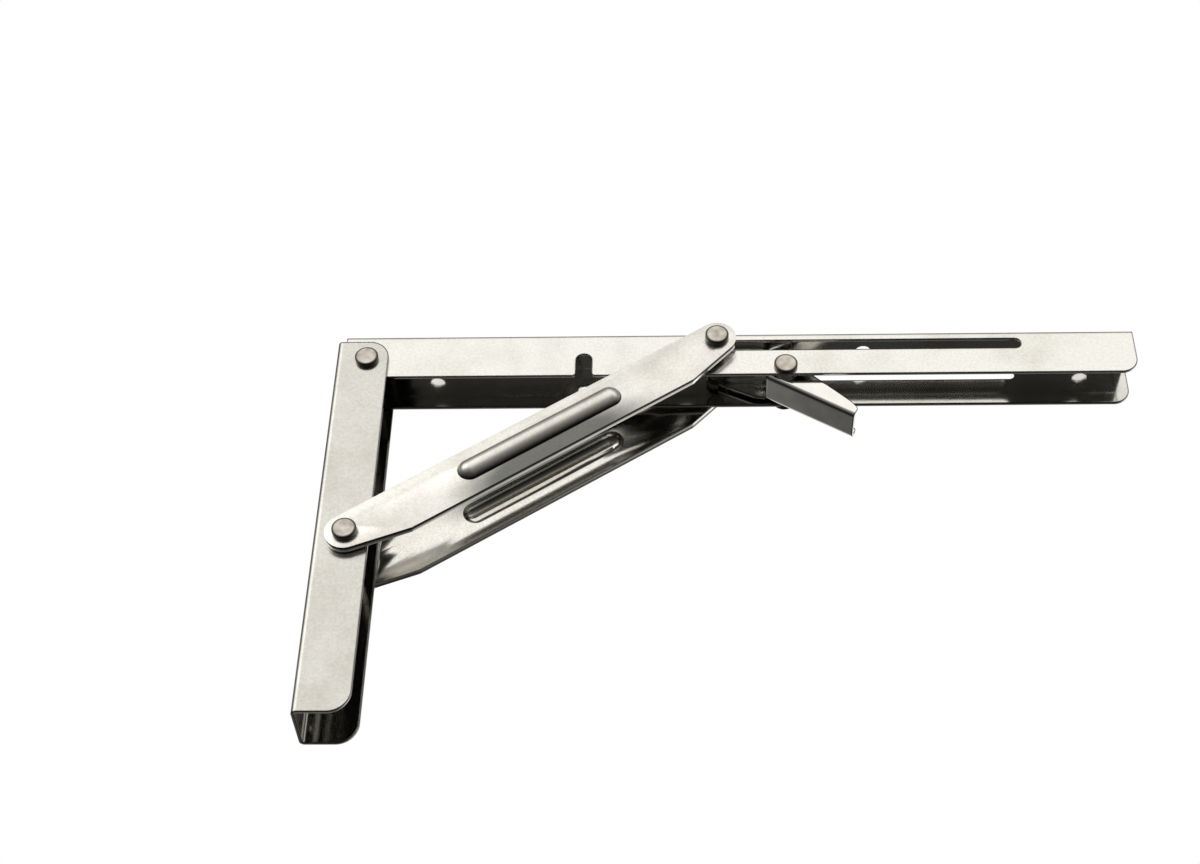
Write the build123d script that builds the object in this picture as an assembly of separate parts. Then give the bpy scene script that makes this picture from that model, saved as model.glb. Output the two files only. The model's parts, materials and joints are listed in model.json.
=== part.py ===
from build123d import *
from math import atan2, cos, degrees, hypot, radians, sin, sqrt
import os

# Folding bracket for a drop-leaf table or shelf, in pressed and polished stainless sheet.
# Frame: X runs out from the wall, Y runs across the bracket to its rear side, Z is up.
# The origin is on the wall face, midway along the row of wall screws. Sizes are in millimetres.
# The bracket is drawn open: the table arm level, the wall arm upright.

# Pivots
hinge_from_wall = 12.0
hinge_above_screws = 85.0
foot_below_hinge = 84.2
slider_from_hinge = 135.6
slider_above_hinge = 6.5
lever_pin_from_hinge = 161.9
lever_pin_below_hinge = 3.9

# Fits
turning_gap = 0.05
side_gap = 0.2
stack_gap = 0.05

# Sheet thicknesses
arm_sheet = 1.2
brace_sheet = 2.8
lever_sheet = 1.2

# Table arm, a level channel that folds down into the wall arm
table_arm_length = 305.0
table_arm_behind_hinge = 9.0
table_arm_width = 20.0
table_arm_depth = 20.9
table_face_above_hinge = 12.8
table_arm_bend = 1.9
table_arm_end_radius = 6.5
table_arm_hinge_radius = 6.0
table_screw_radius = 2.9
table_screws_from_hinge = (24.0, 124.0, 193.0, 280.0)

# Slot for the slider, and the notch that lets the brace's foot pin in when folded
slot_clearance = 0.05
slot_end_spare = 3.1
slot_start_spare = 0.3
notch_width = 6.2
notch_top_above_hinge = 2.7
notch_mouth_radius = 1.2

# Wall arm, an upright channel screwed to the wall
wall_arm_above_hinge = 8.7
wall_arm_below_hinge = 156.6
wall_arm_depth = 20.3
wall_arm_bend = 1.9
wall_arm_corner_radius = 8.0
wall_screw_radius = 2.75
wall_screws_from_middle = (-59.0, -27.0, 27.0, 59.0)

# Brace, a pair of flat plates outside the arms
brace_end_radius = 7.4
brace_belly_depth = 12.3
brace_belly_from_foot = 21.4
brace_belly_from_slider = 20.0
brace_belly_radius = 4.0
brace_outside_gap = 0.7

# Rib pressed out of each brace plate, its two ends lanced open
rib_from_foot = 46.0
rib_length = 72.0
rib_below_pivots = 2.4
rib_width = 11.0
rib_height = 3.2
rib_sheet = 1.6
rib_slit_height = 1.3
rib_slit_reach = 4.0

# Pins, rivets and washers
hinge_pin_radius = 2.95
foot_pin_radius = 2.5
lever_pin_radius = 2.2
slider_radius = 2.35
head_radius = 4.5
head_edge = 0.5
hinge_head_height = 2.0
foot_head_height = 2.2
lever_head_height = 1.75
washer_radius = 5.4
slider_washer_radius = 4.4
slider_inner_head_radius = 3.6
slider_inner_head_height = 1.1
hinge_sleeve_radius = 4.0

# Release lever, a small channel inside the table arm, measured from its own pin
lever_width = 14.4
lever_bend = 1.8
lever_pin_seat_gap = 0.5
lever_top = 12.7
lever_lip_height = 7.3
lever_lip_reach = 2.1
lever_nose_foot = 4.4
lever_throat = (-11.9, -2.1)
lever_web_start = (-7.4, -2.9)
lever_web_end = (24.9, -22.4)
lever_tip = (26.8, -19.0)
lever_handle_top = (24.1, -15.5)
lever_handle_root = (10.9, -3.1)
lever_boss_top = (4.1, 4.9)
lever_ramp_end = (-3.4, 7.9)
lever_ramp_middle = (-8.1, 11.2)
lever_flat_end = (-10.7, 12.7)
lever_washer_radius = 4.2

# Torsion spring wound round the lever pin
spring_wire_radius = 0.45
spring_coil_radius = 3.1
spring_turns = 6
spring_pitch = 1.15
spring_lower_leg = 7.4

# Worked-out places, as (X, Z)
hinge = (hinge_from_wall, hinge_above_screws)
foot = (hinge[0], hinge[1] - foot_below_hinge)
slider = (hinge[0] + slider_from_hinge, hinge[1] + slider_above_hinge)
lever_pivot = (hinge[0] + lever_pin_from_hinge, hinge[1] - lever_pin_below_hinge)
brace_run = slider[0] - foot[0]
brace_rise = slider[1] - foot[1]
brace_span = hypot(brace_run, brace_rise)
brace_slope = degrees(atan2(brace_rise, brace_run))
folded_slider_from_hinge = foot_below_hinge + sqrt(brace_span**2 - slider_above_hinge**2)
table_face = hinge[1] + table_face_above_hinge

# Worked-out half widths across the bracket
table_half = table_arm_width / 2
table_inside = table_half - arm_sheet
wall_inside = table_half + side_gap
wall_half = wall_inside + arm_sheet
brace_inside = wall_half + brace_outside_gap
brace_half = brace_inside + brace_sheet
lever_half = lever_width / 2
lever_inside = lever_half - lever_sheet
beyond = 6.0


def slab(outline, low, high):
    """An outline drawn in X and Z, made solid from Y = low to Y = high."""
    return extrude(Plane.XZ.offset(-high) * outline, high - low, dir=(0, -1, 0))


def outline_of(points):
    return make_face(Polyline(*points, close=True))


def corner(outline, point, radius):
    """The outline with its corner nearest to a point rounded."""
    vertex = outline.vertices().sort_by_distance(Vector(point[0], point[1], 0))[0]
    return fillet(vertex, radius)


def rod(centre, radius, low, high):
    return slab(Pos(*centre) * Circle(radius), low, high)


def ring(centre, radius, bore, low, high):
    return rod(centre, radius, low, high) - rod(centre, bore, low - beyond, high + beyond)


def bore_across(centre, radius):
    return rod(centre, radius, -brace_half - beyond, brace_half + beyond)


def other_side(piece):
    return mirror(piece, about=Plane.XZ)


def u_section(half, depth, sheet, bend):
    """Cross-section of a channel, its web along the bottom and its sides standing up."""
    outer = Pos(0, depth / 2) * Rectangle(2 * half, depth)
    outer = fillet(outer.vertices().group_by(Axis.Y)[0], bend)
    inner = Pos(0, sheet + depth / 2) * Rectangle(2 * (half - sheet), depth)
    inner = fillet(inner.vertices().group_by(Axis.Y)[0], bend - sheet)
    return outer - inner


def near_rivet(centre, shank, inner, outer, head_height):
    """One end of a rivet on the -Y side: its shank and its flat head."""
    head = rod(centre, head_radius, -outer - head_height, -outer)
    rim = head.edges().filter_by(GeomType.CIRCLE).sort_by(Axis.Y)[0]
    head = fillet(rim, head_edge)
    return head + rod(centre, shank, -outer, -inner)


def through_rivet(centre, shank, outer, head_height):
    near = near_rivet(centre, shank, 0, outer, head_height)
    return near + other_side(near)


def table_arm_side():
    """Side view of the table arm with its slot and its notch."""
    left = hinge[0] - table_arm_behind_hinge
    right = left + table_arm_length
    bottom = table_face - table_arm_depth
    side = outline_of([(left, bottom), (right, bottom), (right, table_face), (left, table_face)])
    side = corner(side, (left, bottom), table_arm_hinge_radius)
    side = corner(side, (right, bottom), table_arm_end_radius)
    notch_x = hinge[0] + foot_below_hinge
    half = notch_width / 2
    arch = hinge[1] + notch_top_above_hinge - half
    side -= Pos(notch_x, (arch + bottom - beyond) / 2) * Rectangle(notch_width, arch - bottom + beyond)
    side -= Pos(notch_x, arch) * Circle(half)
    side = corner(side, (notch_x - half, bottom), notch_mouth_radius)
    side = corner(side, (notch_x + half, bottom), notch_mouth_radius)
    slot_start = slider[0] - slot_start_spare
    slot_end = hinge[0] + folded_slider_from_hinge + slot_end_spare
    slot = SlotCenterToCenter(slot_end - slot_start, 2 * (slider_radius + slot_clearance))
    return side - Pos((slot_start + slot_end) / 2, slider[1]) * slot


def make_table_arm():
    left = hinge[0] - table_arm_behind_hinge
    section = u_section(table_half, table_arm_depth, arm_sheet, table_arm_bend)
    end_on = Plane(origin=(left, 0, table_face), x_dir=(0, -1, 0), z_dir=(1, 0, 0))
    arm = extrude(end_on * section, table_arm_length)
    arm &= slab(table_arm_side(), -table_half, table_half)
    for distance in table_screws_from_hinge:
        arm -= Pos(hinge[0] + distance, 0, table_face) * Cylinder(table_screw_radius, beyond)
    arm -= bore_across(hinge, hinge_pin_radius + turning_gap)
    return arm - bore_across(lever_pivot, lever_pin_radius + turning_gap)


def make_wall_arm():
    top = hinge[1] + wall_arm_above_hinge
    bottom = hinge[1] - wall_arm_below_hinge
    side = outline_of([(0, bottom), (wall_arm_depth, bottom), (wall_arm_depth, top), (0, top)])
    side = corner(side, (wall_arm_depth, top), wall_arm_corner_radius)
    side = corner(side, (wall_arm_depth, bottom), wall_arm_corner_radius)
    section = u_section(wall_half, wall_arm_depth, arm_sheet, wall_arm_bend)
    end_on = Plane(origin=(0, 0, bottom), x_dir=(0, -1, 0), z_dir=(0, 0, 1))
    arm = extrude(end_on * section, top - bottom)
    arm &= slab(side, -wall_half, wall_half)
    for height in wall_screws_from_middle:
        arm -= Pos(0, 0, height) * Cylinder(wall_screw_radius, beyond, rotation=(0, 90, 0))
    arm -= bore_across(hinge, hinge_pin_radius + turning_gap)
    return arm - bore_across(foot, foot_pin_radius + turning_gap)


def brace_outline():
    """A brace plate lying along X, from its foot hole at the origin to its slider hole."""
    belly = brace_belly_radius - brace_belly_depth
    rounds = (
        (0, 0, brace_end_radius),
        (brace_span, 0, brace_end_radius),
        (brace_belly_from_foot, belly, brace_belly_radius),
        (brace_span - brace_belly_from_slider, belly, brace_belly_radius),
    )
    edges = ShapeList()
    for x, y, radius in rounds:
        edges += (Pos(x, y) * Circle(radius)).edges()
    return make_face(make_hull(edges).edges())


def rib_body(radius, axis_depth):
    """A bar with round ends, lying along the rib at a depth below the plate's outer face."""
    overhang = sqrt(radius**2 - axis_depth**2)
    half_run = rib_length / 2 - rib_width / 2
    middle = rib_from_foot + rib_length / 2
    bar = Cylinder(radius, 2 * half_run, rotation=(0, 90, 0))
    bar += Pos(-half_run, 0, 0) * Sphere(radius)
    bar += Pos(half_run, 0, 0) * Sphere(radius)
    return Pos(middle, -brace_half + axis_depth, -rib_below_pivots) * bar


def rib_window(end, inward):
    """The lanced opening at one end of the rib, just above the plate's outer face."""
    reach = rib_slit_reach + beyond
    centre = end + inward * (rib_slit_reach - reach / 2)
    box = Box(reach, rib_slit_height, rib_width + beyond)
    return Pos(centre, -brace_half - rib_slit_height / 2, -rib_below_pivots) * box


def make_brace_plate():
    """The near plate, drawn lying along X and then turned to the brace's slope."""
    plate = slab(brace_outline(), -brace_half, -brace_inside)
    crown_radius = (rib_height**2 + (rib_width / 2) ** 2) / (2 * rib_height)
    axis_depth = crown_radius - rib_height
    raised = rib_body(crown_radius, axis_depth)
    span = brace_span + 2 * brace_end_radius
    outside = Pos(brace_span / 2, -brace_half - beyond / 2, 0) * Box(span, beyond, span)
    raised &= outside
    plate += raised
    plate -= rib_body(crown_radius - rib_sheet, axis_depth)
    plate -= rib_window(rib_from_foot, 1)
    plate -= rib_window(rib_from_foot + rib_length, -1)
    plate -= bore_across((0, 0), foot_pin_radius + turning_gap)
    plate -= bore_across((brace_span, 0), foot_pin_radius + turning_gap)
    return Pos(foot[0], 0, foot[1]) * Rot(0, -brace_slope, 0) * plate


def at_lever(point):
    return lever_pivot[0] + point[0], lever_pivot[1] + point[1]


def lever_side():
    """Side view of the release lever: hooked nose, ramp, pin boss and handle."""
    seat = slider[0] - lever_pivot[0] + slider_radius + lever_pin_seat_gap
    nose = seat - lever_lip_reach
    points = (
        (nose, lever_nose_foot),
        (nose, lever_lip_height),
        (seat, lever_lip_height),
        (seat, lever_top),
        lever_flat_end,
        lever_ramp_middle,
        lever_ramp_end,
        lever_boss_top,
        lever_handle_root,
        lever_handle_top,
        lever_tip,
        lever_web_end,
        lever_web_start,
        lever_throat,
    )
    side = outline_of([at_lever(point) for point in points])
    rounded = (
        (lever_flat_end, 3.0),
        (lever_ramp_end, 3.0),
        (lever_boss_top, 5.0),
        (lever_handle_root, 10.0),
        (lever_handle_top, 2.5),
        (lever_tip, 1.6),
    )
    for point, radius in rounded:
        side = corner(side, at_lever(point), radius)
    return side


def make_release_lever():
    run = lever_web_end[0] - lever_web_start[0]
    fall = lever_web_start[1] - lever_web_end[1]
    slope = degrees(atan2(fall, run))
    start = at_lever(lever_web_start)
    along = (cos(radians(slope)), 0, -sin(radians(slope)))
    end_on = Plane(origin=(start[0], 0, start[1]), x_dir=(0, 1, 0), z_dir=along)
    section = u_section(lever_half, 2 * lever_top, lever_sheet, lever_bend)
    length = hypot(run, fall) + beyond
    side = lever_side()
    channel = extrude(end_on * section, length)
    sides = slab(side, -lever_half, -lever_inside)
    sides += other_side(sides)
    cover = end_on * (Pos(0, lever_top) * Rectangle(2 * lever_half + beyond, 2 * lever_top + beyond))
    trough = channel & slab(side, -lever_half, lever_half)
    lever = sides - extrude(cover, length) + trough
    return lever - bore_across(lever_pivot, lever_pin_radius + turning_gap)


def make_lever_spring():
    """Coil round the lever pin, one leg up to the table arm, the other down on the lever."""
    height = spring_turns * spring_pitch
    path = Helix(spring_pitch, height, spring_coil_radius)
    start = Plane(origin=path @ 0, z_dir=path % 0)
    coil = sweep(start * Circle(spring_wire_radius), path)
    spring = Pos(0, height / 2, 0) * Rot(90, 0, 0) * coil
    upper_leg = table_face - arm_sheet - lever_pivot[1] - stack_gap
    overlap = spring_wire_radius
    leg = Cylinder(spring_wire_radius, upper_leg + overlap)
    spring += Pos(spring_coil_radius, -height / 2, (upper_leg - overlap) / 2) * leg
    spring += Pos(spring_coil_radius, height / 2, 0) * Sphere(1.1 * spring_wire_radius)
    leg = Cylinder(spring_wire_radius, spring_lower_leg)
    spring += Pos(spring_coil_radius, height / 2, -spring_lower_leg / 2) * leg
    return Pos(lever_pivot[0], 0, lever_pivot[1]) * spring


def save(name, solid):
    solid.label = name
    export_step(solid, os.path.join("parts", name + ".step"))


def save_pair(name, piece):
    save(name + "_front", piece)
    save(name + "_rear", other_side(piece))


def save_all():
    os.makedirs("parts", exist_ok=True)
    save("wall_arm", make_wall_arm())
    save("table_arm", make_table_arm())
    save("hinge_pin", through_rivet(hinge, hinge_pin_radius, wall_half, hinge_head_height))
    sleeve_end = table_inside - stack_gap
    sleeve_bore = hinge_pin_radius + turning_gap
    save("hinge_sleeve", ring(hinge, hinge_sleeve_radius, sleeve_bore, -sleeve_end, sleeve_end))
    save_pair("brace_plate", make_brace_plate())
    save("foot_pin", through_rivet(foot, foot_pin_radius, brace_half, foot_head_height))
    foot_bore = foot_pin_radius + turning_gap
    washer_inner = -wall_half - stack_gap
    washer_outer = -brace_inside + stack_gap
    save_pair("foot_washer", ring(foot, washer_radius, foot_bore, washer_outer, washer_inner))
    rivet = near_rivet(slider, foot_pin_radius, brace_inside + stack_gap, brace_half, foot_head_height)
    save_pair("slider_rivet", rivet)
    stud_end = -brace_inside + 4 * stack_gap
    head_face = -table_inside + stack_gap
    stud = rod(slider, slider_radius, stud_end, head_face)
    stud += rod(slider, slider_inner_head_radius, head_face, head_face + slider_inner_head_height)
    save_pair("slider_stud", stud)
    slider_bore = slider_radius + turning_gap
    slider_washer = ring(slider, slider_washer_radius, slider_bore, stud_end, -table_half - stack_gap)
    save_pair("slider_washer", slider_washer)
    save("release_lever", make_release_lever())
    save("lever_pin", through_rivet(lever_pivot, lever_pin_radius, table_half, lever_head_height))
    lever_bore = lever_pin_radius + turning_gap
    washer_outer = -table_inside + stack_gap
    washer_inner = -lever_half - stack_gap
    save_pair("lever_washer", ring(lever_pivot, lever_washer_radius, lever_bore, washer_outer, washer_inner))
    save("lever_spring", make_lever_spring())


save_all()
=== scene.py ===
import json
from math import cos, radians, sin

import bmesh
import bpy
from mathutils import Matrix, Vector, geometry

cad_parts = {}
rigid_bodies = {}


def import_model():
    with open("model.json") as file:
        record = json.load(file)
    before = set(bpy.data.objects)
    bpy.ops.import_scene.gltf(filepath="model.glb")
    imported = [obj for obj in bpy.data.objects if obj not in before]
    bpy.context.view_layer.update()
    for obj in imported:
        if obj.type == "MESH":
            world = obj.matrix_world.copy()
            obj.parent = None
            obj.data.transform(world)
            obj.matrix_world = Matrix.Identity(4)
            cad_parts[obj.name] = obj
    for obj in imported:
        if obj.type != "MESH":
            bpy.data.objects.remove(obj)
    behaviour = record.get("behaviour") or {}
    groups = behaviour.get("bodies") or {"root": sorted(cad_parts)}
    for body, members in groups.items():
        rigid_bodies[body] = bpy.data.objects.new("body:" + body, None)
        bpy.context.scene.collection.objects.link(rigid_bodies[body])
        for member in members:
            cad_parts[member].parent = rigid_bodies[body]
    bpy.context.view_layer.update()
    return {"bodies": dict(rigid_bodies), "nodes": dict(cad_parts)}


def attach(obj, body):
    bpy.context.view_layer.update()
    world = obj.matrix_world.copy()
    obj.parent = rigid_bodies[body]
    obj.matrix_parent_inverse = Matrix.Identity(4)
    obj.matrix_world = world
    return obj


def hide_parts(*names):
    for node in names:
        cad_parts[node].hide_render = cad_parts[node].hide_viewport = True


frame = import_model()

# The two arms: U channels pressed from thin stainless sheet, joined at the corner by the hinge rivet.
# A wheel polished them outside and left faint lines along each arm, slow clouds and a fine mottle.
# Inside the channels the colour is darkened as painted shade, and a fine dark line of painted shade
# follows each cut edge.
edge_shade_colour = (0.10, 0.096, 0.088, 1)
arm_edge = 0.0009
cloud_tint = (0.85, 0.84, 0.82)
lines_across, lines_along = 2600.0, 60.0


def start_metal(name):
    steel = bpy.data.materials.new(name)
    steel.use_nodes = True
    skin = steel.node_tree.nodes["Principled BSDF"]
    skin.inputs["Metallic"].default_value = 1.0
    return steel, steel.node_tree, skin


def dress(names, steel):
    for name in names:
        slots = frame["nodes"][name].data.materials
        slots.clear()
        slots.append(steel)


def feed(tree, socket, source):
    if isinstance(source, bpy.types.NodeSocket):
        tree.links.new(source, socket)
    else:
        socket.default_value = source


def position(tree, kind="Object"):
    return tree.nodes.new("ShaderNodeTexCoord").outputs[kind]


def split(tree, vector):
    sides = tree.nodes.new("ShaderNodeSeparateXYZ")
    feed(tree, sides.inputs["Vector"], vector)
    return sides.outputs


def noise(tree, where, scale, detail=2, roughness=0.5):
    grain = tree.nodes.new("ShaderNodeTexNoise")
    grain.inputs["Scale"].default_value = scale
    grain.inputs["Detail"].default_value = detail
    grain.inputs["Roughness"].default_value = roughness
    feed(tree, grain.inputs["Vector"], where)
    return grain.outputs["Fac"]


def brushed(tree, where, stretch):
    drawn_out = tree.nodes.new("ShaderNodeMapping")
    drawn_out.inputs["Scale"].default_value = stretch
    feed(tree, drawn_out.inputs["Vector"], where)
    return noise(tree, drawn_out.outputs["Vector"], scale=1, detail=4)


def remap(tree, value, start=0, end=1, low=0, high=1, curve="LINEAR"):
    change = tree.nodes.new("ShaderNodeMapRange")
    change.interpolation_type = curve
    change.inputs["From Min"].default_value = start
    change.inputs["From Max"].default_value = end
    change.inputs["To Min"].default_value = low
    change.inputs["To Max"].default_value = high
    feed(tree, change.inputs["Value"], value)
    return change.outputs["Result"]


def reckon(tree, operation, first, second=0, clamp=False):
    answer = tree.nodes.new("ShaderNodeMath")
    answer.operation = operation
    answer.use_clamp = clamp
    feed(tree, answer.inputs[0], first)
    feed(tree, answer.inputs[1], second)
    return answer.outputs["Value"]


def reckon_vector(tree, operation, first, second=(0, 0, 0)):
    answer = tree.nodes.new("ShaderNodeVectorMath")
    answer.operation = operation
    feed(tree, answer.inputs[0], first)
    feed(tree, answer.inputs[1], second)
    return answer.outputs["Value" if operation in ("DOT_PRODUCT", "LENGTH") else "Vector"]


def ramp(tree, value, *stops, curve="LINEAR"):
    shades = tree.nodes.new("ShaderNodeValToRGB")
    shades.color_ramp.interpolation = curve
    steps = shades.color_ramp.elements
    for step, (place, colour) in zip(steps, (stops[0], stops[-1])):
        step.position = place
        step.color = colour
    for place, colour in stops[1:-1]:
        steps.new(place).color = colour
    feed(tree, shades.inputs["Fac"], value)
    return shades.outputs["Color"]


def mix(tree, amount, first, second):
    blend = tree.nodes.new("ShaderNodeMix")
    blend.data_type = "RGBA"
    feed(tree, blend.inputs["Factor"], amount)
    feed(tree, blend.inputs["A"], first)
    feed(tree, blend.inputs["B"], second)
    return blend.outputs["Result"]


def shade(tree, colour, amount):
    shaded = tree.nodes.new("ShaderNodeVectorMath")
    shaded.operation = "SCALE"
    feed(tree, shaded.inputs[0], colour)
    feed(tree, shaded.inputs["Scale"], amount)
    return shaded.outputs["Vector"]


def find_edges(tree, radius):
    rounded = tree.nodes.new("ShaderNodeBevel")
    rounded.samples = 8
    rounded.inputs["Radius"].default_value = radius
    flat = tree.nodes.new("ShaderNodeNewGeometry").outputs["Normal"]
    agreement = reckon_vector(tree, "DOT_PRODUCT", flat, rounded.outputs["Normal"])
    return rounded.outputs["Normal"], remap(tree, agreement, start=1.0, end=0.96)


def emboss(tree, skin, height, strength, depth, rounded=None):
    relief = tree.nodes.new("ShaderNodeBump")
    relief.inputs["Strength"].default_value = strength
    relief.inputs["Distance"].default_value = depth
    feed(tree, relief.inputs["Height"], height)
    if rounded is not None:
        feed(tree, relief.inputs["Normal"], rounded)
    feed(tree, skin.inputs["Normal"], relief.outputs["Normal"])


# The wall arm is given a darker tone than the table arm, though both are the same steel: painted shade.
for name, lengthwise, inner_half, web_axis, web_side, web_face, tint_and_shade in (
    ("table_arm", 0, 0.0093, "Z", "LESS_THAN", 0.0972, (0.93, 0.925, 0.89, 1)),
    ("wall_arm", 2, 0.0107, "X", "GREATER_THAN", 0.0006, (0.71, 0.70, 0.665, 1)),
):
    steel, tree, skin = start_metal(name + "_polished")
    place = position(tree)
    spot = split(tree, place)
    between_sides = reckon(tree, "LESS_THAN", reckon(tree, "ABSOLUTE", spot["Y"]), inner_half)
    short_of_web = reckon(tree, web_side, spot[web_axis], web_face)
    inside_channels = reckon(tree, "MULTIPLY", between_sides, short_of_web)

    cloud = noise(tree, place, scale=38, detail=5, roughness=0.62)
    clouded = (*(part * less for part, less in zip(tint_and_shade, cloud_tint)), 1)
    tone = ramp(tree, cloud, (0.30, clouded), (0.55, tint_and_shade))
    mottle = noise(tree, place, scale=900, detail=6)
    fleck = remap(tree, mottle, start=0.3, end=0.7, low=0.91, high=1.04)
    # Inside the channels the colour is darkened: painted shade.
    channel_shade = remap(tree, inside_channels, low=1.0, high=0.85)
    shaded = shade(tree, tone, reckon(tree, "MULTIPLY", fleck, channel_shade))
    # A fine dark line along each cut edge is painted shade.
    rounded, edge_shade = find_edges(tree, arm_edge)
    feed(tree, skin.inputs["Base Color"], mix(tree, edge_shade, shaded, edge_shade_colour))

    stretch = [lines_across, lines_across, lines_across]
    stretch[lengthwise] = lines_along
    lines = brushed(tree, place, stretch)
    haze = remap(tree, lines, low=0.15, high=0.27)
    smoother = remap(tree, inside_channels, low=1.0, high=0.45)
    feed(tree, skin.inputs["Roughness"], reckon(tree, "MULTIPLY", haze, smoother))
    emboss(tree, skin, lines, strength=0.06, depth=0.00003, rounded=rounded)
    dress([name], steel)

# The brace: two thick stainless plates, riveted to the wall arm and held by a pin in the table arm's slot.
# Each is cut with a long shallow belly, and a closed, round-ended rib is pressed outward along it.
# Pressing dished the metal a little round the rib, and the colour there is darkened as painted shade,
# lighter on the rib's crown.
foot = Vector((0.012, 0, 0.0008))
slope = radians(33.7777)
mm_per_metre = 1000
span_mm, end_radius_mm, belly_radius_mm = 163.1375, 7.4, 4.0
belly_drop_mm, belly_from_foot_mm, belly_from_slider_mm = 8.3, 21.4, 20.0
rim_steps = 120
outer_face, inner_face = -0.0149, -0.0121
rib_along, rib_up = 0.082, -0.0016
rib_straight = 0.0305
rib_high, rib_half = 0.0032, 0.0047
rib_wall, hollow_half = 0.0016, 0.0049
rib_root = 0.0008
hole_radius = 0.00255
punch_length = 0.02
edge_roll = 0.0004
on_middle = 1e-7


def put_down(name, shaper):
    form = bpy.data.meshes.new(name)
    shaper.to_mesh(form)
    shaper.free()
    tool = bpy.data.objects.new(name, form)
    bpy.context.scene.collection.objects.link(tool)
    return tool


def press(work, tool, operation):
    stroke = work.modifiers.new(tool.name, "BOOLEAN")
    stroke.operation = operation
    stroke.object = tool


def slice_across(shaper, point, direction, drop_beyond=False):
    whole = shaper.verts[:] + shaper.edges[:] + shaper.faces[:]
    return bmesh.ops.bisect_plane(
        shaper, geom=whole, plane_co=point, plane_no=direction, clear_outer=drop_beyond
    )["geom_cut"]


def arc_radius(half_width, height):
    return (half_width ** 2 + height ** 2) / (2 * height)


round_corners_mm = (
    (0, 0, end_radius_mm),
    (span_mm, 0, end_radius_mm),
    (belly_from_foot_mm, -belly_drop_mm, belly_radius_mm),
    (span_mm - belly_from_slider_mm, -belly_drop_mm, belly_radius_mm),
)
turns = [radians(360 / rim_steps * step) for step in range(rim_steps)]
rim = [
    Vector((x + radius * cos(turn), z + radius * sin(turn))) / mm_per_metre
    for x, z, radius in round_corners_mm
    for turn in turns
]
shaper = bmesh.new()
outline = [shaper.verts.new((rim[i].x, inner_face, rim[i].y)) for i in geometry.convex_hull_2d(rim)]
side = shaper.faces.new(outline)
moved = bmesh.ops.extrude_face_region(shaper, geom=[side])["geom"]
far_corners = [v for v in moved if isinstance(v, bmesh.types.BMVert)]
bmesh.ops.translate(shaper, vec=(0, outer_face - inner_face, 0), verts=far_corners)
bmesh.ops.recalc_face_normals(shaper, faces=shaper.faces)
blank = put_down("brace_blank", shaper)

# The rib is a long dome and its hollow another, each a sphere drawn apart at its middle.
hollow_deep = inner_face - (outer_face - rib_high + rib_wall)
dome = arc_radius(rib_half, rib_high)
hollow = arc_radius(hollow_half, hollow_deep)
tools = []
for radius, centre, operation in (
    (dome, outer_face - rib_high + dome, "UNION"),
    (hollow, inner_face - hollow_deep + hollow, "DIFFERENCE"),
):
    shaper = bmesh.new()
    bmesh.ops.create_uvsphere(shaper, u_segments=96, v_segments=48, radius=radius)
    bmesh.ops.rotate(shaper, matrix=Matrix.Rotation(radians(90), 3, "Y"), verts=shaper.verts)
    slice_across(shaper, (0, 0, 0), (1, 0, 0))
    for v in shaper.verts:
        if abs(v.co.x) > on_middle:
            v.co.x += rib_straight if v.co.x > 0 else -rib_straight
    bmesh.ops.translate(shaper, vec=(rib_along, centre, rib_up), verts=shaper.verts)
    if operation == "UNION":
        cut = slice_across(shaper, (0, inner_face - rib_root, 0), (0, 1, 0), drop_beyond=True)
        open_edge = [e for e in cut if isinstance(e, bmesh.types.BMEdge)]
        bmesh.ops.contextual_create(shaper, geom=open_edge)
    bmesh.ops.recalc_face_normals(shaper, faces=shaper.faces)
    tool = put_down("rib_form", shaper)
    press(blank, tool, operation)
    tools.append(tool)
for x in (0, span_mm / mm_per_metre):
    shaper = bmesh.new()
    bmesh.ops.create_cone(
        shaper, cap_ends=True, segments=64, radius1=hole_radius, radius2=hole_radius, depth=punch_length
    )
    bmesh.ops.rotate(shaper, matrix=Matrix.Rotation(radians(90), 3, "X"), verts=shaper.verts)
    bmesh.ops.translate(shaper, vec=(x, outer_face, 0), verts=shaper.verts)
    tool = put_down("hole_form", shaper)
    press(blank, tool, "DIFFERENCE")
    tools.append(tool)
roll = blank.modifiers.new("roll", "BEVEL")
roll.width = edge_roll
roll.segments = 3
roll.limit_method = "ANGLE"
roll.angle_limit = radians(28)
finished = blank.evaluated_get(bpy.context.evaluated_depsgraph_get())
pressed = bpy.data.meshes.new_from_object(finished)
for tool in (blank, *tools):
    bpy.data.objects.remove(tool)
pressed.transform(Matrix.Translation(foot) @ Matrix.Rotation(-slope, 4, "Y"))

steel, tree, skin = start_metal("brace_polished")
place = position(tree)
along_plate = tree.nodes.new("ShaderNodeMapping")
along_plate.vector_type = "TEXTURE"
along_plate.inputs["Location"].default_value = foot
along_plate.inputs["Rotation"].default_value = (0, -slope, 0)
feed(tree, along_plate.inputs["Vector"], place)
level = along_plate.outputs["Vector"]
spot = split(tree, place)
lean = split(tree, tree.nodes.new("ShaderNodeNewGeometry").outputs["Normal"])
outward = reckon(tree, "ABSOLUTE", spot["Y"])
outer_side = reckon(tree, "GREATER_THAN", reckon(tree, "MULTIPLY", lean["Y"], spot["Y"]), 0.0)
raised = remap(tree, outward, start=0.0154, end=0.0162)

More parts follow.
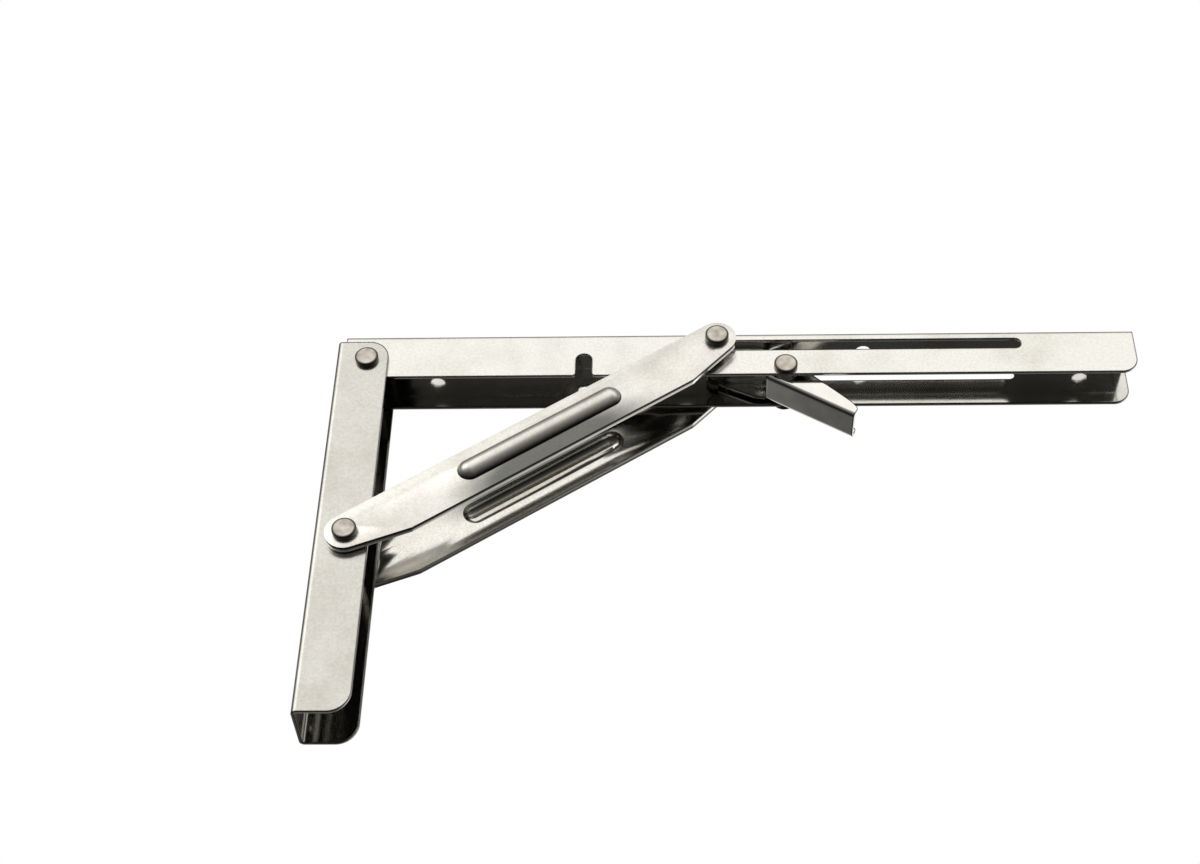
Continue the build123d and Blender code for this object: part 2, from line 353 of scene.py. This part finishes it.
# The patch of painted shade is an oval, which lies higher on the inner face than on the outer one.
patch_half_long, patch_half_high = 0.050, 0.0125
inner_patch_up, outer_patch_up = 0.0035, -0.0115
middle = tree.nodes.new("ShaderNodeCombineXYZ")
middle.inputs["X"].default_value = rib_along
feed(tree, middle.inputs["Z"], remap(tree, outer_side, low=inner_patch_up, high=outer_patch_up))
off_middle = reckon_vector(tree, "SUBTRACT", level, middle.outputs["Vector"])
to_circle = (1 / patch_half_long, 0, 1 / patch_half_high)
away = reckon_vector(tree, "LENGTH", reckon_vector(tree, "MULTIPLY", off_middle, to_circle))
dish_shade = remap(tree, away, start=1.0, end=0.45, high=0.92, curve="SMOOTHSTEP")

# The patch's dark colour off the rib and paler colour on the rib's crown are painted shade.
clouded, polished = (0.82, 0.80, 0.75, 1), (0.95, 0.94, 0.90, 1)
dish_shade_flat, dish_shade_crown = (0.135, 0.14, 0.13, 1), (0.66, 0.63, 0.56, 1)
cloud = noise(tree, level, scale=70, detail=4)
tone = ramp(tree, cloud, (0.30, clouded), (0.62, polished))
dish_shade_colour = mix(tree, raised, dish_shade_flat, dish_shade_crown)
pits = noise(tree, level, scale=1300, detail=4)
fleck = remap(tree, pits, start=0.3, end=0.7, low=0.88, high=1.06)
flecked = shade(tree, mix(tree, dish_shade, tone, dish_shade_colour), fleck)
# A dark line along the plates' cut edges, off the rib on the outer side, is painted shade.
turned_over = remap(tree, reckon(tree, "ABSOLUTE", lean["Y"]), start=0.985, end=0.80)
off_rib = reckon(tree, "SUBTRACT", turned_over, raised, clamp=True)
brace_edge_shade = reckon(tree, "MULTIPLY", off_rib, outer_side)
feed(tree, skin.inputs["Base Color"], mix(tree, brace_edge_shade, flecked, edge_shade_colour))

lines = brushed(tree, level, (90, 2400, 2400))
haze = remap(tree, lines, low=0.05, high=0.12)
outer = remap(tree, outer_side, low=0.07, high=0.20)
feed(tree, skin.inputs["Roughness"], reckon(tree, "ADD", haze, outer))
emboss(tree, skin, pits, strength=0.12, depth=0.00004)
pressed.materials.clear()
pressed.materials.append(steel)

for name, flip in (("front", 1), ("rear", -1)):
    sheet = pressed.copy()
    if flip < 0:
        sheet.transform(Matrix.Scale(-1, 4, (0, 1, 0)))
        sheet.flip_normals()
    sheet.polygons.foreach_set("use_smooth", [True] * len(sheet.polygons))
    sheet.set_sharp_from_angle(angle=radians(40))
    plate = bpy.data.objects.new("brace_pressing_" + name, sheet)
    bpy.context.scene.collection.objects.link(plate)
    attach(plate, "brace")
    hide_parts("brace_plate_" + name)

# The release lever: a small channel folded from thin stainless sheet, which turns on its own rivet.
# It is polished like the arms, and fingers rub its handle, so the tone wanders a little more.
lever_edge = 0.0007
fingered, rubbed_bright = (0.88, 0.865, 0.83, 1), (0.97, 0.96, 0.93, 1)
steel, tree, skin = start_metal("lever_polished")
place = position(tree)
cloud = noise(tree, place, scale=140, detail=4)
tone = ramp(tree, cloud, (0.30, fingered), (0.65, rubbed_bright))
# The dark line along the lever's edges is painted shade.
rounded, edge_shade = find_edges(tree, lever_edge)
feed(tree, skin.inputs["Base Color"], mix(tree, edge_shade, tone, edge_shade_colour))
feed(tree, skin.inputs["Roughness"], remap(tree, cloud, low=0.06, high=0.16))
speck = noise(tree, place, scale=1500)
emboss(tree, skin, speck, strength=0.10, depth=0.00004, rounded=rounded)
dress(["release_lever"], steel)

# The rivets: turned stainless pins with flat heads, set cold and left plain.
# Setting leaves the heads a warm satin grey with fine pits, and their rims and sides are darkened as
# painted shade.
# A rim is a ring near the outside of the pin's own box, which runs from 0 to 1 across the pin.
warm_grey, warm_pale = (0.40, 0.365, 0.32, 1), (0.76, 0.72, 0.65, 1)
rim_shade_colour = (0.10, 0.094, 0.083, 1)
box_middle, across_pin = (0.5, 0.5, 0.5), (1, 0, 1)
steel, tree, skin = start_metal("rivet_satin")
place = position(tree)
cloud = noise(tree, place, scale=320, detail=5)
tone = ramp(tree, cloud, (0.30, warm_grey), (0.68, warm_pale))
# The ring near the outside of the box is painted shade on the rims and sides.
off_middle = reckon_vector(tree, "SUBTRACT", position(tree, "Generated"), box_middle)
off_axis = reckon_vector(tree, "LENGTH", reckon_vector(tree, "MULTIPLY", off_middle, across_pin))
rim_shade = remap(tree, off_axis, start=0.39, end=0.44)
feed(tree, skin.inputs["Base Color"], mix(tree, rim_shade, tone, rim_shade_colour))
feed(tree, skin.inputs["Roughness"], remap(tree, cloud, low=0.26, high=0.44))
pits = noise(tree, place, scale=2200)
emboss(tree, skin, pits, strength=0.25, depth=0.00005)
dress(["hinge_pin", "hinge_sleeve", "foot_pin", "lever_pin"], steel)
dress(["slider_rivet_front", "slider_rivet_rear", "slider_stud_front", "slider_stud_rear"], steel)

# The washers: rings stamped from stainless sheet, which sit on the rivets and space the plates.
# Turning between the plates has rubbed them dull and left fine scuffs.
rubbed_dark, rubbed_pale = (0.36, 0.34, 0.31, 1), (0.62, 0.60, 0.57, 1)
steel, tree, skin = start_metal("washer_rubbed")
scuff = noise(tree, position(tree), scale=500, detail=5)
feed(tree, skin.inputs["Base Color"], ramp(tree, scuff, (0.30, rubbed_dark), (0.70, rubbed_pale)))
feed(tree, skin.inputs["Roughness"], remap(tree, scuff, low=0.25, high=0.5))
emboss(tree, skin, scuff, strength=0.2, depth=0.00005)
for rivet in ("foot", "slider", "lever"):
    dress([rivet + "_washer_front", rivet + "_washer_rear"], steel)

# The lever spring: hard drawn wire wound round the lever's rivet, with one leg against the lever.
# The wire is left as drawn, darker than the sheet and finely mottled.
wire_dark, wire_pale = (0.24, 0.23, 0.22, 1), (0.50, 0.49, 0.48, 1)
steel, tree, skin = start_metal("spring_wire")
drawn = noise(tree, position(tree), scale=900, detail=4)
feed(tree, skin.inputs["Base Color"], ramp(tree, drawn, (0.0, wire_dark), (1.0, wire_pale)))
feed(tree, skin.inputs["Roughness"], remap(tree, drawn, low=0.25, high=0.45))
emboss(tree, skin, drawn, strength=0.2, depth=0.00005)
dress(["lever_spring"], steel)

# The floor: a plain pale sheet more than a metre below the bracket, which is shown in the air.
# It is white to the eye, and it is kept out of the metal's reflections.
floor_width, floor_middle = 30, (0.16, 0, -1.1)
paper, white = (0.95, 0.95, 0.95, 1), (1, 1, 1, 1)


def white_to_eye(tree, others, seen, surface):
    seen.inputs["Color"].default_value = white
    choose = tree.nodes.new("ShaderNodeMixShader")
    ray = tree.nodes.new("ShaderNodeLightPath").outputs["Is Camera Ray"]
    feed(tree, choose.inputs["Fac"], ray)
    feed(tree, choose.inputs[1], others.outputs[0])
    feed(tree, choose.inputs[2], seen.outputs[0])
    feed(tree, surface.inputs["Surface"], choose.outputs["Shader"])


bpy.ops.mesh.primitive_plane_add(size=floor_width, location=floor_middle)
floor = bpy.context.object
floor.name = "floor"
floor.visible_glossy = False
pale = bpy.data.materials.new("pale_floor")
pale.use_nodes = True
tree = pale.node_tree
skin = tree.nodes["Principled BSDF"]
skin.inputs["Base Color"].default_value = paper
skin.inputs["Roughness"].default_value = 0.9
white_to_eye(tree, skin, tree.nodes.new("ShaderNodeEmission"), tree.nodes["Material Output"])
floor.data.materials.append(pale)

# The studio: a white room to the eye, and a shaped glow in the metal's reflections.
# In front the glow rises from dark below to white above, and behind it is brightest at eye height.
# It falls off overhead and towards both sides, which gives the metal its dark bands.
black, warm_white = (0, 0, 0, 1), (1.03, 1.01, 0.965, 1)
front_levels = ((0.19, 0.05), (0.30, 0.13), (0.45, 0.26), (0.71, 1.0))
rear_levels = ((0.19, 0.05), (0.31, 0.07), (0.41, 0.5), (0.5, 0.8), (0.66, 0.40), (0.80, 0.32))


def glow_by_height(tree, lift, levels):
    greys = [(place, (level, level, level, 1)) for place, level in levels]
    return ramp(tree, lift, *greys, curve="EASE")


world = bpy.data.worlds.new("studio")
bpy.context.scene.world = world
world.use_nodes = True
tree = world.node_tree
heading = split(tree, position(tree, "Generated"))
lift = remap(tree, heading["Z"], start=-1, end=1)
before = glow_by_height(tree, lift, front_levels)
behind = glow_by_height(tree, lift, rear_levels)
to_rear = remap(tree, heading["Y"], start=-0.2, end=0.2, curve="SMOOTHSTEP")
around = mix(tree, to_rear, before, behind)
facing = reckon(tree, "ABSOLUTE", heading["Y"])
wide = remap(tree, facing, start=0.25, end=0.68, low=0.28, curve="SMOOTHSTEP")
glow = reckon(tree, "MULTIPLY", around, wide)
reflected = tree.nodes.new("ShaderNodeBackground")
feed(tree, reflected.inputs["Color"], mix(tree, glow, black, warm_white))
white_to_eye(tree, reflected, tree.nodes.new("ShaderNodeBackground"), tree.nodes["World Output"])

# The lamps: two wide soft boxes above the bracket, one in front at left and one behind at right.
# Both are weak, and only lift the metal a little over the glow of the room.
lamp_watts, lamp_width = 5, 1.6
for name, place in (("key", (-1.3, -1.5, 0.9)), ("back", (1.4, 1.3, 0.9))):
    lamp = bpy.data.lights.new(name, "AREA")
    lamp.energy = lamp_watts
    lamp.size = lamp_width
    box = bpy.data.objects.new(name, lamp)
    box.location = place
    aim = frame["bodies"]["wall_side"].location - box.location
    box.rotation_euler = aim.to_track_quat("-Z", "Y").to_euler()
    bpy.context.scene.collection.objects.link(box)

# The camera: below the table arm and in front of it, looking up, with a slight lean to one side.
# Its place, turn and lens were fitted to the bracket's straight edges.
eye = (0.13067, -0.5873, -0.40665)
yaw, pitch, roll_over = radians(2.74), radians(38.26), radians(-1.3)
turned = Matrix.Rotation(yaw, 3, "Z") @ Matrix.Rotation(pitch, 3, "X")
turned = turned @ Matrix.Rotation(roll_over, 3, "Y") @ Matrix.Rotation(radians(90), 3, "X")
lens = bpy.data.cameras.new("camera")
lens.lens = 58.83
lens.sensor_width = 36
camera = bpy.data.objects.new("camera", lens)
camera.matrix_world = Matrix.Translation(eye) @ turned.to_4x4()
bpy.context.scene.collection.objects.link(camera)
bpy.context.scene.camera = camera
bpy.context.scene.view_settings.view_transform = "Standard"
